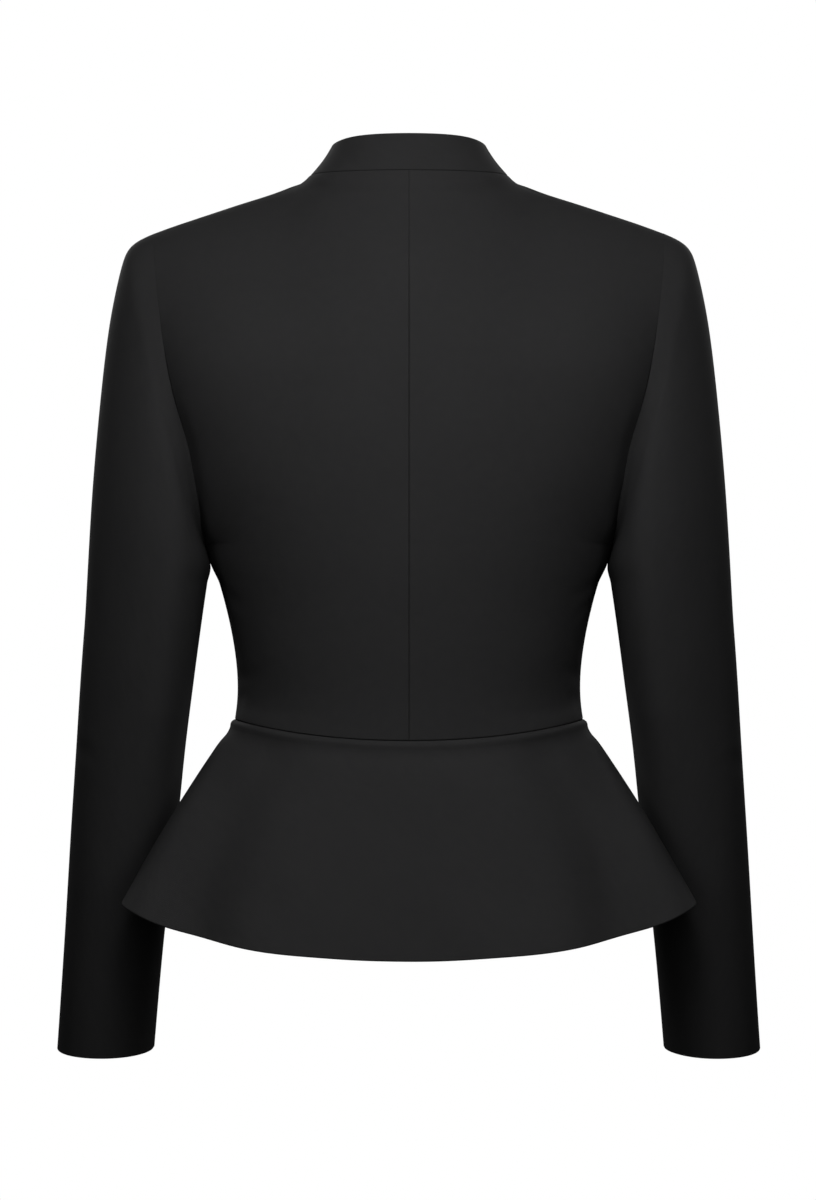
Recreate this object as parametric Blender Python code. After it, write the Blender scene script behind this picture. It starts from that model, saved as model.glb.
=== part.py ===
"""Fitted peplum blazer in its worn, hollow form: a stand collar, a bodice cut in
two backs and two fronts that lap at the centre front, a flared peplum sewn on at a
dipped waist seam, and two straight set-in sleeves.

The wearer's front faces -Y and the wearer's left is +X. The origin is the middle of
the neck seam, at the height of the shoulder-neck points. Sizes below are in
millimetres and become metres when a piece is made.
"""

import math

import bmesh
import bpy
import numpy as np

MM = 0.001

# ---------------------------------------------------------------- driving sizes
CLOTH = 2.0  # wall of the interlined suiting
COLLAR_CLOTH = 2.6  # the collar is two layers
SEAM_GAP = 0.3  # between two pieces along a seam
LAP = 17.0  # each front passes the centre front by this much
LAP_DROP = 3.5  # how far the under front lies below the upper one
LAP_RUN = (20.0, 34.0)  # where the under front has dropped, and where it starts to

NECK_HALF = 74.3  # neck seam, half width
NECK_MID = -6.0  # the neck seam's widest place, front to back
NECK_BACK, NECK_FRONT = 50.0, -76.0
NECK_Z, NECK_FRONT_Z = 2.0, -68.0
NECK_FALL = 1.5  # how late the neck seam and the collar dip towards the front
COLLAR_HALF = 57.5  # top edge of the collar
COLLAR_BACK, COLLAR_FRONT = 42.5, -60.0
COLLAR_Z, COLLAR_FRONT_Z = 28.5, -42.0
COLLAR_DIP = 3.6  # how much lower its top edge is at the sides
COLLAR_END = 2.5  # from the centre front to the collar's end
COLLAR_ROUND = 13.0  # radius of the collar's front corner

SHOULDER_X, SHOULDER_Y, SHOULDER_Z = 191.0, -4.0, -41.2
UNDERARM_Z = -274.0
CHEST_Z = -150.0
ARM_SHARE = {"back": 0.69, "front": 0.66}  # where the armhole cuts the section
ARM_RISE = {"back": 80.0, "front": 92.0}  # height of the armhole's round bottom
NECK_SHARE = 5 / 12  # share of a panel's width that ends on the neck seam

WAIST_SIDE_Z = -406.0
WAIST_DIP = {"back": 13.5, "front": 7.0}  # how much lower the waist seam is in the middle

# ---------------------------------------------------------------- tables, in mm


def table(names, *rows):
    return {name: [row[k] for row in rows] for k, name in enumerate(names.split())}


# Torso sections. Above the underarm, half_width is that of the closed form which
# the armhole cuts open. full_* is how square the quarter section is (0.55 is round).
BODICE = table(
    "z half_width back front side full_back full_front",
    (-440, 139.5, 73.0, -103, -12, 0.56, 0.56),
    (-418, 133.6, 74.0, -104, -12, 0.56, 0.56),
    (-391, 129.2, 75.5, -105, -11, 0.56, 0.57),
    (-360, 130.2, 80.0, -110, -10, 0.57, 0.60),
    (-325, 136.6, 86.0, -118, -8, 0.58, 0.63),
    (-290, 146.0, 92.0, -126, -6, 0.60, 0.66),
    (-256, 156.0, 96.0, -129, -4, 0.62, 0.68),
    (-205, 179.0, 99.0, -124, -2, 0.65, 0.68),
    (-150, 196.0, 97.5, -107, 0, 0.67, 0.67),
    (-100, 204.0, 91.0, -87, 0, 0.67, 0.66),
)

# The shoulder seam, seen from behind: it curls up where the neck begins.
SHOULDER = table(
    "x z",
    (74.3, 2.0),
    (78.0, -1.6),
    (85.0, -4.8),
    (96.0, -9.0),
    (123.0, -18.0),
    (151.0, -27.2),
    (177.0, -36.0),
    (191.0, -41.2),
)

# The peplum's hem, one row for each stretch round it. At is 0 at the centre back,
# 1 at the side seam and 2 at the centre front.
HEM = table(
    "at x y z",
    (0.00, 0, 116, -577.3),  # centre back
    (0.25, 63.9, 113.5, -574.9),
    (0.50, 123.4, 104, -568.4),
    (0.66, 156.0, 85, -561.0),  # soft hollow
    (0.80, 187.1, 80, -552.1),
    (0.90, 207.1, 66, -542.9),  # side fold
    (0.96, 212.0, 38, -540.1),
    (1.00, 206, 4, -540.5),  # side seam
    (1.10, 185.8, -15.8, -541.5),  # hollow where the sleeve hangs
    (1.30, 163, -56, -546.0),
    (1.50, 127, -97, -553.0),
    (1.75, 67, -131, -560.0),
    (2.00, 0, -142, -563.0),  # centre front
)
BELL = 3.6  # how far the peplum's sides stand out from a straight fall
LEAN, FULL = 0.25, 0.14  # how much fuller the sleeve's back is on its body side

# Sleeve cap: rings that turn from the armhole to the level of the underarm.
CAP = table(
    "outer_x outer_z inner_x inner_z round",
    (199.5, -45.0, 151.6, -276.5, 0.12),
    (206.8, -49.5, 151.6, -279.0, 0.25),
    (211.5, -55.0, 151.4, -281.5, 0.40),
    (215.0, -64.0, 151.2, -284.0, 0.55),
    (219.5, -83.0, 151.0, -286.5, 0.70),
    (225.0, -114.0, 150.8, -289.0, 0.83),
    (230.5, -160.0, 150.6, -292.0, 0.92),
    (235.5, -212.0, 150.8, -296.0, 0.97),
    (239.3, -262.0, 151.6, -302.0, 1.00),
)

# The sleeve's middle and half depth, front to back, and below the underarm its
# edges seen from behind and the tilt of its rings.
SLEEVE_DEPTH = table(
    "z mid_y depth",
    (-40, 0.0, 50.0),
    (-100, 0.0, 55.0),
    (-150, 0.0, 57.5),
    (-200, -0.8, 59.3),
    (-250, -2.8, 60.0),
    (-290, -5.8, 59.3),
    (-318, -8.6, 58.0),
    (-345, -12.0, 56.3),
    (-385, -18.0, 53.7),
    (-436, -26.5, 51.0),
    (-500, -37.5, 48.5),
    (-571, -50.0, 46.0),
    (-659.5, -64.5, 43.5),
)
SLEEVE = table(
    "z inner_x outer_x tilt",
    (-318, 154.0, 242.8, 0.00),
    (-345, 157.8, 244.9, 0.02),
    (-385, 163.3, 248.2, 0.04),
    (-436, 170.2, 252.0, 0.06),
    (-500, 177.4, 257.0, 0.08),
    (-571, 186.6, 262.3, 0.09),
    (-659.5, 195.3, 269.3, 0.09),
)

# How finely each piece is cut into faces.
ROWS_BELOW_ARM, ROWS_ARM_ROUND, ROWS_ARM_MID, ROWS_SHOULDER = 6, 4, 2, 6
PANEL_COLUMNS = 12
PEPLUM_ROWS, COLLAR_ROWS = 5, 3
SLEEVE_LEVELS = (-318, -345, -385, -436, -500, -571, -620, -659.5)

# ---------------------------------------------------------------- curves


def smooth(xs, ys):
    """A natural cubic curve through the points, as a function."""
    xs, ys = np.array(xs, float), np.array(ys, float)
    order = np.argsort(xs)
    xs, ys = xs[order], ys[order]
    n, h = len(xs), np.diff(xs)
    left, right = np.zeros((n, n)), np.zeros(n)
    left[0, 0] = left[-1, -1] = 1
    for k in range(1, n - 1):
        left[k, k - 1 : k + 2] = h[k - 1], 2 * (h[k - 1] + h[k]), h[k]
        right[k] = 6 * ((ys[k + 1] - ys[k]) / h[k] - (ys[k] - ys[k - 1]) / h[k - 1])
    bend = np.linalg.solve(left, right)

    def at(x):
        k = int(np.clip(np.searchsorted(xs, x) - 1, 0, n - 2))
        a, b = (xs[k + 1] - x) / h[k], (x - xs[k]) / h[k]
        return (
            a * ys[k]
            + b * ys[k + 1]
            + ((a**3 - a) * bend[k] + (b**3 - b) * bend[k + 1]) * h[k] ** 2 / 6
        )

    return at


def curves(rows, key):
    return {name: smooth(rows[key], rows[name]) for name in rows if name != key}


def mirrored_ends(rows, key, flips):
    """The table carried on past its first and last row, as its mirror image."""
    low, high = rows[key][0], rows[key][-1]
    longer = {}
    for name, column in rows.items():
        if name == key:
            before = [2 * low - c for c in column[3:0:-1]]
            after = [2 * high - c for c in column[-2:-5:-1]]
        else:
            sign = -1 if name in flips else 1
            before = [sign * c for c in column[3:0:-1]]
            after = [sign * c for c in column[-2:-5:-1]]
        longer[name] = before + column + after
    return longer


def bezier(s, *points):
    p = [np.array(q, float) for q in points]
    r = 1 - s
    return r**3 * p[0] + 3 * r * r * s * p[1] + 3 * r * s * s * p[2] + s**3 * p[3]


def unit(v):
    return v / max(np.linalg.norm(v), 1e-9)


def ease(s):
    s = min(max(s, 0.0), 1.0)
    return s * s * (3 - 2 * s)


TORSO = curves(BODICE, "z")
SEAM_LINE = curves(SHOULDER, "x")
HEM_LINE = curves(mirrored_ends(HEM, "at", ("x",)), "at")
TUBE = curves(SLEEVE, "z")
TUBE_DEPTH = curves(SLEEVE_DEPTH, "z")


# ---------------------------------------------------------------- bodice


def section(face, share, z):
    """A point of the torso at height z. Share is 0 in the middle and 1 at the side."""
    t, side = abs(share), TORSO["side"](z)
    width, middle = TORSO["half_width"](z), TORSO[face](z)
    full = TORSO["full_" + face](z)
    x, y = bezier(
        t,
        (0, middle),
        (full * width, middle),
        (width, side + full * (middle - side)),
        (width, side),
    )
    return np.array([math.copysign(x, share), y, z])


def neck_seam(angle):
    """The neck seam. Angle is 0 at the centre back, 90 at the shoulder, 180 in front."""
    a = math.radians(angle)
    x, c = NECK_HALF * math.sin(a), math.cos(a)
    if c >= 0:
        return np.array([x, NECK_MID + (NECK_BACK - NECK_MID) * c, NECK_Z - 1.0 * c * c])
    fall = (-c) ** NECK_FALL
    return np.array(
        [x, NECK_MID + (NECK_MID - NECK_FRONT) * c, NECK_Z + (NECK_FRONT_Z - NECK_Z) * fall]
    )


def collar_top(angle):
    a = math.radians(angle)
    x, c = COLLAR_HALF * math.sin(a), math.cos(a)
    side = COLLAR_Z - COLLAR_DIP * math.sin(a) ** 6
    if c >= 0:
        return np.array([x, NECK_MID + (COLLAR_BACK - NECK_MID) * c, side + 0.6 * c])
    fall = (-c) ** NECK_FALL
    return np.array(
        [
            x,
            NECK_MID + (NECK_MID - COLLAR_FRONT) * c,
            side + (COLLAR_FRONT_Z - COLLAR_Z) * fall,
        ]
    )


def neck_rise(angle):
    """The way the cloth runs up into the collar at the neck seam."""
    a = math.radians(angle)
    side = abs(math.sin(a)) ** 1.5
    lean = (0.45 if math.cos(a) > 0 else 0.36) * (1 - side) + 0.85 * side
    return unit(
        np.array([-math.sin(a) * lean, -math.cos(a) * lean, 0.9 * (1 - side) + 0.62 * side])
    )


def neck_rim(angle):
    """The way through the cloth at the neck seam, midway between bodice and collar."""
    along = unit(neck_seam(angle + 1) - neck_seam(angle - 1))
    bodice_out = unit(np.cross(neck_rise(angle), along))
    collar_out = unit(np.cross(collar_top(angle) - neck_seam(angle), along))
    rim = unit(bodice_out + collar_out)
    return rim / (rim @ bodice_out)


def neck_angle(face, u):
    """The neck seam's angle for panel place u."""
    share = abs(u) / NECK_SHARE
    if face == "back":
        angle = 90 * share
    elif abs(u) < 0.2:  # the front edge runs straight up
        angle = 180 - math.degrees(math.asin(front_x(abs(u)) / NECK_HALF))
    else:
        angle = 180 - 90 * share
    return angle if u >= 0 else 360 - angle


def top_edge(face, u):
    """The top of a bodice panel and the way its cloth arrives there: along the neck
    seam up to NECK_SHARE, then along the shoulder seam to the shoulder point."""
    over = np.array([0, -0.99 if face == "back" else 0.99, 0.14])
    if u <= NECK_SHARE:
        share, angle = u / NECK_SHARE, neck_angle(face, u)
        near = ease((share - 0.6) / 0.4)
        return neck_seam(angle), unit(neck_rise(angle) * (1 - 0.5 * near) + over * 0.5 * near)
    share = (u - NECK_SHARE) / (1 - NECK_SHARE)
    x = NECK_HALF + (SHOULDER_X - NECK_HALF) * share
    y = NECK_MID + (SHOULDER_Y - NECK_MID) * share
    near = 1 - ease(share / 0.25)
    way = unit(over * (1 - 0.5 * near) + neck_rise(90) * 0.5 * near)
    return np.array([x, y, SEAM_LINE["z"](x)]), way


def front_x(u):
    """How far from the centre front the columns near it stand, the same at each height."""
    return u / 0.2 * 38.0


def share_of(face, u, v):
    """Panel place u at row place v, as a share of the torso section's quarter."""
    if v <= 1:
        cut = 1.0
    elif v <= 2:
        cut = 1 - (1 - ARM_SHARE[face]) * math.sin((v - 1) * math.pi / 2)
    else:
        cut = ARM_SHARE[face]
    return u * cut


def straight_share(z, x):
    """The share of the front section that lies x from the centre front."""
    low, high = 0.0, 0.5
    for _ in range(30):
        mid = (low + high) / 2
        low, high = (mid, high) if section("front", mid, z)[0] < x else (low, mid)
    return low


def row_height(face, u, v):
    """Height of row place v: 0 the waist seam, 1 the underarm, 2 the top of the
    armhole's round, 3 the chest line. Rows above that run up to the shoulder."""
    if v <= 1:
        middle = math.cos(min(abs(u), 1.0) * math.pi / 2) ** 2
        waist = WAIST_SIDE_Z - WAIST_DIP[face] * middle
        return waist + (UNDERARM_Z - waist) * v
    if v <= 2:
        return UNDERARM_Z + ARM_RISE[face] * (1 - math.cos((v - 1) * math.pi / 2))
    low = UNDERARM_Z + ARM_RISE[face]
    return low + (CHEST_Z - low) * (v - 2)


def bodice(face, u, v):
    """A point on the outside of the bodice. u is 0 in the middle and 1 at the side or
    armhole (below 0 on the lap), v is 0 at the waist and 4 at the shoulder."""
    sign = -1.0 if u < 0 else 1.0
    w = abs(u)

    def low(z, row):
        share = share_of(face, w, row)
        if face == "front" and w < 0.32:  # columns near the front edge stand straight
            keep = 1 - ease((w - 0.2) / 0.12)
            share += keep * (straight_share(z, front_x(w)) - share)
        return section(face, share, z)

    if v <= 3:
        p = low(row_height(face, w, v), v)
    else:
        start = low(CHEST_Z, 3)
        rise = unit(low(CHEST_Z + 4, 3) - low(CHEST_Z - 4, 3))
        end, way = top_edge(face, w)
        far = np.linalg.norm(end - start)
        reach = 0.34 - 0.16 * ease(w / NECK_SHARE)
        reach += 0.08 * ease((w - NECK_SHARE) / (1 - NECK_SHARE))
        p = bezier(v - 3, start, start + rise * far * 0.38, end - way * far * reach, end)
    return p * np.array([sign, 1, 1])


# ---------------------------------------------------------------- peplum, collar


def hem(at):
    return np.array([HEM_LINE[k](at) for k in "xyz"])


def hem_place(x):
    """Where along the hem the front stands x from the centre front."""
    low, high = 1.5, 2.0
    for _ in range(30):
        mid = (low + high) / 2
        low, high = (mid, high) if hem(mid)[0] > x else (low, mid)
    return low


def peplum(face, u, v):
    """v is 0 at the waist seam and 1 at the hem."""
    waist, w = bodice(face, u, 0.0), abs(u)
    at = w
    if face == "front":
        straight = 1 - ease((w - 0.2) / 0.2)  # its front edge hangs straight
        at = 2 - w + straight * (hem_place(front_x(w) * 1.1) - 2 + w)
    fall = hem(at) * np.array([-1.0 if u < 0 else 1.0, 1, 1]) - waist
    out = unit(fall * np.array([1, 1, 0]))
    side = ease((1 - abs(1 - at)) / 0.8)
    return waist + fall * v + out * BELL * side * math.sin(math.pi * v)


def collar(angle, v, low):
    """v is 0 at the neck seam and 1 at the top edge. The front corners are rounded."""
    high = collar_top(angle)
    end = NECK_HALF * math.sin(math.radians(angle)) - COLLAR_END
    if angle > 90 and end < COLLAR_ROUND:
        drop = COLLAR_ROUND - math.sqrt(max(COLLAR_ROUND**2 - (COLLAR_ROUND - end) ** 2, 0.0))
        high = high + unit(low - high) * drop * 0.92
    out = unit((low - np.array([0, NECK_MID, low[2]])) * np.array([1, 1, 0]))
    return low + (high - low) * v - out * 1.2 * math.sin(math.pi * v)


# ---------------------------------------------------------------- sleeve


def armhole(rows):
    """The armhole, from the underarm up the back to the shoulder and down the front."""
    up = [bodice("back", 1.0, v) for v in rows]
    down = [bodice("front", 1.0, v) for v in reversed(rows[1:-1])]
    return np.array(up + down)


def ring_angles(loop, top):
    """An angle for each armhole point, by its length along the seam: 0 at the underarm,
    180 at the shoulder point."""
    closed = np.vstack([loop, loop[:1]])
    run = np.concatenate([[0], np.cumsum(np.linalg.norm(np.diff(closed, axis=0), axis=1))])
    back = run[: top + 1] / run[top] * 180
    front = 180 + (run[top + 1 : -1] - run[top]) / (run[-1] - run[top]) * 180
    return np.radians(np.concatenate([back, front]))


def round_sleeve(z, angles):
    """Depth round a sleeve section. Above the forearm the back is fuller on its body side."""
    back, body = np.maximum(np.sin(angles), 0), np.maximum(np.cos(angles), 0)
    lean = LEAN * np.clip((z + 530) / 130, 0, 1) * back * np.cos(angles)
    full = FULL * np.clip((z + 500) / 100, 0, 1) * 2.6 * back * body**2
    return np.sin(angles) * (1 + lean) + full


def sleeve_rings(rows, levels):
    """Rings of the left sleeve, from the armhole down to the cuff."""
    loop = armhole(rows)
    top = len(rows) - 1
    angles = ring_angles(loop, top)
    under, peak = loop[0], loop[top]
    chord = peak - under
    across = unit(np.array([chord[2], 0, -chord[0]]))
    along = (loop - under) @ chord / (chord @ chord)
    off = (loop - under) @ across
    rings = [loop]
    for k in range(len(CAP["round"])):
        outer = np.array([CAP["outer_x"][k], 0, CAP["outer_z"][k]])
        inner = np.array([CAP["inner_x"][k], 0, CAP["inner_z"][k]])
        w = CAP["round"][k]
        side = unit(np.array([(outer - inner)[2], 0, -(outer - inner)[0]]))
        q = along * (1 - w) + (1 - np.cos(angles)) / 2 * w
        ring = inner + q[:, None] * (outer - inner) + (off * (1 - w))[:, None] * side
        mid = np.array([TUBE_DEPTH["mid_y"](z) for z in ring[:, 2]])
        depth = np.array([TUBE_DEPTH["depth"](z) for z in ring[:, 2]])
        ring[:, 1] = loop[:, 1] * (1 - w) + (mid + depth * round_sleeve(ring[:, 2], angles)) * w
        rings.append(ring)
    for z in levels:
        inner, outer = TUBE["inner_x"](z), TUBE["outer_x"](z)
        x = (inner + outer) / 2 - (outer - inner) / 2 * np.cos(angles)
        y = TUBE_DEPTH["depth"](z) * round_sleeve(z, angles)
        mid = TUBE_DEPTH["mid_y"](z)
        rings.append(np.stack([x, mid + y, z - TUBE["tilt"](z) * y], axis=1))
    return np.array(rings)


# ---------------------------------------------------------------- cloth pieces


class Piece:
    """One cut piece of cloth: a net of points on its outside, rows by columns, and
    which of its edges are sewn to another piece."""

    def __init__(self, name, net, sewn, cloth=CLOTH, tube=False, rims=None):
        self.name, self.net, self.sewn = name, np.array(net, float), sewn
        self.cloth, self.tube, self.rims = cloth, tube, rims or {}
        self.out = self.normals()

    def normals(self):
        p = self.net
        if self.tube:
            across = np.roll(p, -1, 1) - np.roll(p, 1, 1)
        else:
            across = np.gradient(p, axis=1)
        n = np.cross(across, np.gradient(p, axis=0))
        n /= np.maximum(np.linalg.norm(n, axis=2, keepdims=True), 1e-9)
        middle = p.mean(axis=1, keepdims=True) if self.tube else np.array([0, NECK_MID, 0])
        away = (p - middle) * np.array([1, 1, 0])
        return n if (n * away).sum() > 0 else -n

    def border(self):
        """The border's runs of points, each as (sewn, [(row, column), ...], step inwards)."""
        rows, cols = self.net.shape[:2]
        last = rows - 1
        if self.tube:
            ring = list(range(cols)) + [0]
            return [
                ("low" in self.sewn, [(0, c) for c in ring], (1, 0)),
                ("high" in self.sewn, [(last, c) for c in ring], (-1, 0)),
            ]
        return [
            ("low" in self.sewn, [(0, c) for c in range(cols)], (1, 0)),
            ("high" in self.sewn, [(last, c) for c in range(cols)], (-1, 0)),
            ("first" in self.sewn, [(r, 0) for r in range(rows)], (0, 1)),
            ("last" in self.sewn, [(r, cols - 1) for r in range(rows)], (0, -1)),
        ]


def place_key(p):
    return tuple(np.round(p / 0.02).astype(int))


def sewn_normals(pieces):
    """One direction for each point of a seam, shared by the pieces that meet there, so
    that their edges stand side by side."""
    met = {}
    for piece in pieces:
        for sewn, run, (dr, dc) in piece.border():
            if sewn:
                for r, c in run:
                    p = piece.net[r, c]
                    into = unit(piece.net[r + dr, c + dc] - p)
                    met.setdefault(place_key(p), []).append((piece.out[r, c], into))
    shared = {}
    for key, found in met.items():
        n = unit(sum(a for a, _ in found) + 0.3 * sum(b for _, b in found))
        lean = np.mean([max(a @ n, 0.0) for a, _ in found])
        shared[key] = n / max(lean, 0.7)
    return shared


def walls(piece, shared):
    """Outside and inside points of a piece, its sewn edges drawn back by half a seam gap."""
    rows, cols = piece.net.shape[:2]
    out = piece.out.copy()
    for sewn, run, _ in piece.border():
        for r, c in run if sewn else ():
            out[r, c] = piece.rims.get((r, c), shared[place_key(piece.net[r, c])])
    outer = piece.net.copy()
    middle = piece.net - piece.out * piece.cloth * 0.5
    pulls = {}
    for sewn, run, (dr, dc) in piece.border():
        for k in range(len(run) - 1) if sewn else ():
            a, b = run[k], run[k + 1]
            line = unit(piece.net[b] - piece.net[a])
            for r, c in (a, b):
                pull = unit(np.cross(line, out[r, c]))
                inwards = middle[r + dr, c + dc] - piece.net[r, c]
                pulls.setdefault((r, c), []).append(pull if pull @ inwards > 0 else -pull)
    for (r, c), ways in pulls.items():
        first, other = ways[0], min(ways, key=lambda w: w @ ways[0])
        both = (first + other) / max(1 + first @ other, 0.5)
        outer[r, c] += both * SEAM_GAP / 2
    return outer, outer - out * piece.cloth


def under_lap(net):
    """Sets back the part of a front that lies beneath the other front, and trims its
    upper edge to clear the piece above."""
    run = np.clip((LAP_RUN[1] - net[..., 0]) / (LAP_RUN[1] - LAP_RUN[0]), 0, 1)
    depth = LAP_DROP * run * run * (3 - 2 * run)
    low = net.copy()
    low[..., 1] += depth
    if net[-1, 0, 2] > net[0, 0, 2]:
        step = net[-2] - net[-1]
        step /= np.linalg.norm(step, axis=1, keepdims=True)
        low[-1] += step * depth[-1][:, None] * 0.8
    return low


# ---------------------------------------------------------------- making objects


def clear_scene():
    for obj in list(bpy.data.objects):
        bpy.data.objects.remove(obj)


def suiting(name, shade):
    material = bpy.data.materials.new(name)
    material.use_nodes = True
    shader = material.node_tree.nodes["Principled BSDF"]
    shader.inputs["Base Color"].default_value = (shade, shade, shade, 1)
    shader.inputs["Roughness"].default_value = 0.85
    shader.inputs["Metallic"].default_value = 0.0
    return material


def sew(piece, shared, collection, material, parent):
    """Makes a piece's solid: a grid laid on the outside points, joined up if it is a tube,
    then extruded through the cloth to the inside points."""
    outer, inner = walls(piece, shared)
    if piece.tube:
        outer = np.concatenate([outer, outer[:, :1]], axis=1)
        inner = np.concatenate([inner, inner[:, :1]], axis=1)
    rows, cols = outer.shape[:2]
    bm = bmesh.new()
    row_of, col_of = bm.verts.layers.int.new("row"), bm.verts.layers.int.new("col")
    bmesh.ops.create_grid(bm, x_segments=cols - 1, y_segments=rows - 1, size=0.5)
    for v in bm.verts:
        v[row_of] = round((v.co.y + 0.5) * (rows - 1))
        v[col_of] = round((v.co.x + 0.5) * (cols - 1))
        v.co = outer[v[row_of], v[col_of]] * MM
    if piece.tube:
        bmesh.ops.remove_doubles(bm, verts=bm.verts[:], dist=1e-7)
    made = bmesh.ops.extrude_face_region(bm, geom=bm.faces[:])
    for v in made["geom"]:
        if isinstance(v, bmesh.types.BMVert):
            v.co = inner[v[row_of], v[col_of]] * MM
    bmesh.ops.recalc_face_normals(bm, faces=bm.faces[:])
    mesh = bpy.data.meshes.new(piece.name)
    bm.to_mesh(mesh)
    bm.free()
    mesh.materials.append(material)
    mesh.shade_smooth()
    mesh.set_sharp_from_angle(angle=math.radians(50))
    obj = bpy.data.objects.new(piece.name, mesh)
    obj.parent = parent
    collection.objects.link(obj)
    return obj


def steps(low, high, n):
    return [low + (high - low) * k / n for k in range(n + 1)]


def row_places():
    return (
        steps(0, 1, ROWS_BELOW_ARM)
        + steps(1, 2, ROWS_ARM_ROUND)[1:]
        + steps(2, 3, ROWS_ARM_MID)[1:]
        + steps(3, 4, ROWS_SHOULDER)[1:]
    )


OTHER_SIDE = np.array([-1.0, 1.0, 1.0])


def whole(half):
    """A left half and its mirror image as one net, from right to left."""
    return np.concatenate([half[:, :0:-1] * OTHER_SIDE, half], axis=1)


def neck_rims(face, places, row):
    """Neck seam directions for the top row of a left panel."""
    return {
        (row, c): neck_rim(neck_angle(face, u)) for c, u in enumerate(places) if u <= NECK_SHARE
    }


def collar_foot(ring, seam):
    """The collar's foot on the straight edges of the panels below it, and its directions."""
    foot, rims = [], []
    for angle in ring:
        k = max(i for i, a in enumerate(seam[:-1]) if a <= angle)
        f = (angle - seam[k]) / (seam[k + 1] - seam[k])
        foot.append(neck_seam(seam[k]) * (1 - f) + neck_seam(seam[k + 1]) * f)
        rims.append(neck_rim(seam[k]) * (1 - f) + neck_rim(seam[k + 1]) * f)
    both = [rim * OTHER_SIDE for rim in reversed(rims[1:])] + rims
    return foot, {(0, c): rim for c, rim in enumerate(both)}


def make_pieces():
    rows = row_places()
    back_u = steps(0, 1, PANEL_COLUMNS)
    near_front = (-LAP, -LAP_RUN[0] / 2, 0, LAP_RUN[0] / 2, *LAP_RUN)
    front_u = [0.2 * x / 38.0 for x in near_front] + back_u[3:]

    back = np.array([[bodice("back", u, v) for u in back_u] for v in rows])
    front = np.array([[bodice("front", u, v) for u in front_u] for v in rows])
    back_rims = neck_rims("back", back_u, len(rows) - 1)
    front_rims = neck_rims("front", front_u, len(rows) - 1)
    right_back_rims = {place: rim * OTHER_SIDE for place, rim in back_rims.items()}
    right_front_rims = {place: rim * OTHER_SIDE for place, rim in front_rims.items()}
    round_sewn, front_sewn = ("low", "high", "first", "last"), ("low", "high", "last")
    pieces = [
        Piece("back_left", back, round_sewn, rims=back_rims),
        Piece("back_right", back * OTHER_SIDE, round_sewn, rims=right_back_rims),
        Piece("front_left", under_lap(front), front_sewn, rims=front_rims),
        Piece("front_right", front * OTHER_SIDE, front_sewn, rims=right_front_rims),
    ]

    falls = steps(0, 1, PEPLUM_ROWS)
    half = np.array([[peplum("back", u, v) for u in back_u] for v in falls])
    skirt = np.array([[peplum("front", u, v) for u in front_u] for v in falls])
    pieces += [
        Piece("peplum_back", whole(half), ("low", "first", "last")),
        Piece("peplum_front_left", under_lap(skirt), ("low", "last")),
        Piece("peplum_front_right", skirt * OTHER_SIDE, ("low", "last")),
    ]

    places = [("back", u) for u in back_u] + [("front", u) for u in front_u[:1:-1]]
    seam = sorted({round(neck_angle(f, u), 6) for f, u in places if u <= NECK_SHARE + 1e-9})
    ends = [COLLAR_END + COLLAR_ROUND * share for share in (0.75, 0.18, 0.05, 0)]
    ends = [180 - math.degrees(math.asin(x / NECK_HALF)) for x in ends]
    ring = sorted([a for a in seam if a < max(ends)] + ends)
    foot, foot_rims = collar_foot(ring, seam)
    stand = np.array(
        [[collar(a, v, low) for a, low in zip(ring, foot)] for v in steps(0, 1, COLLAR_ROWS)]
    )
    pieces.append(Piece("collar", whole(stand), ("low",), COLLAR_CLOTH, rims=foot_rims))

    rings = sleeve_rings([v for v in rows if v >= 1], SLEEVE_LEVELS)
    pieces += [
        Piece("sleeve_left", rings, ("low",), tube=True),
        Piece("sleeve_right", rings * OTHER_SIDE, ("low",), tube=True),
    ]
    return pieces


def main():
    clear_scene()
    collection = bpy.data.collections.new("blazer")
    bpy.context.scene.collection.children.link(collection)
    held = bpy.data.objects.new("neck_middle", None)
    collection.objects.link(held)
    pieces = make_pieces()
    shared = sewn_normals(pieces)
    for piece in pieces:
        sew(piece, shared, collection, suiting(piece.name + "_suiting", 0.021), held)


main()
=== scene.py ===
"""The peplum blazer's look: every cut piece as a thin shell of black suiting on the form
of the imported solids, with turned seam edges, a rolled waist seam, soft flutes in the
peplum and shallow uneven creases. Lengths below are in millimetres until a mesh is made.
"""

import math

import bpy
import numpy as np
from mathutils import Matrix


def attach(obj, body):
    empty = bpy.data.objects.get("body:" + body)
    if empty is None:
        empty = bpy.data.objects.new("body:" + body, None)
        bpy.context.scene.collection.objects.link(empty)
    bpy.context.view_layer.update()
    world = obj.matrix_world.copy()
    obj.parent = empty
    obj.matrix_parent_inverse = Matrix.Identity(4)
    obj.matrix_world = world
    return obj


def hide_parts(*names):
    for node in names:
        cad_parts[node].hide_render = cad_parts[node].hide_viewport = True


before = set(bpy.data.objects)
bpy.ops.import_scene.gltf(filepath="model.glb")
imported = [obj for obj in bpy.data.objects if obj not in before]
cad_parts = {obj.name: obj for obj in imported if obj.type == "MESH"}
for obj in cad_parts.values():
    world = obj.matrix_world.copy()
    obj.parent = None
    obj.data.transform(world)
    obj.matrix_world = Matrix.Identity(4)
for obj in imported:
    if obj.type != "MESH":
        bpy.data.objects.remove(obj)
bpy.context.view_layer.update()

MM = 0.001

# ---------------------------------------------------------------- sizes of the cut
CLOTH, COLLAR_CLOTH = 2.0, 2.6
LAP, LAP_DROP, LAP_RUN = 17.0, 3.5, (20.0, 34.0)
FRONT_SPAN = 38.0  # the columns this near the centre front stand straight

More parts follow.
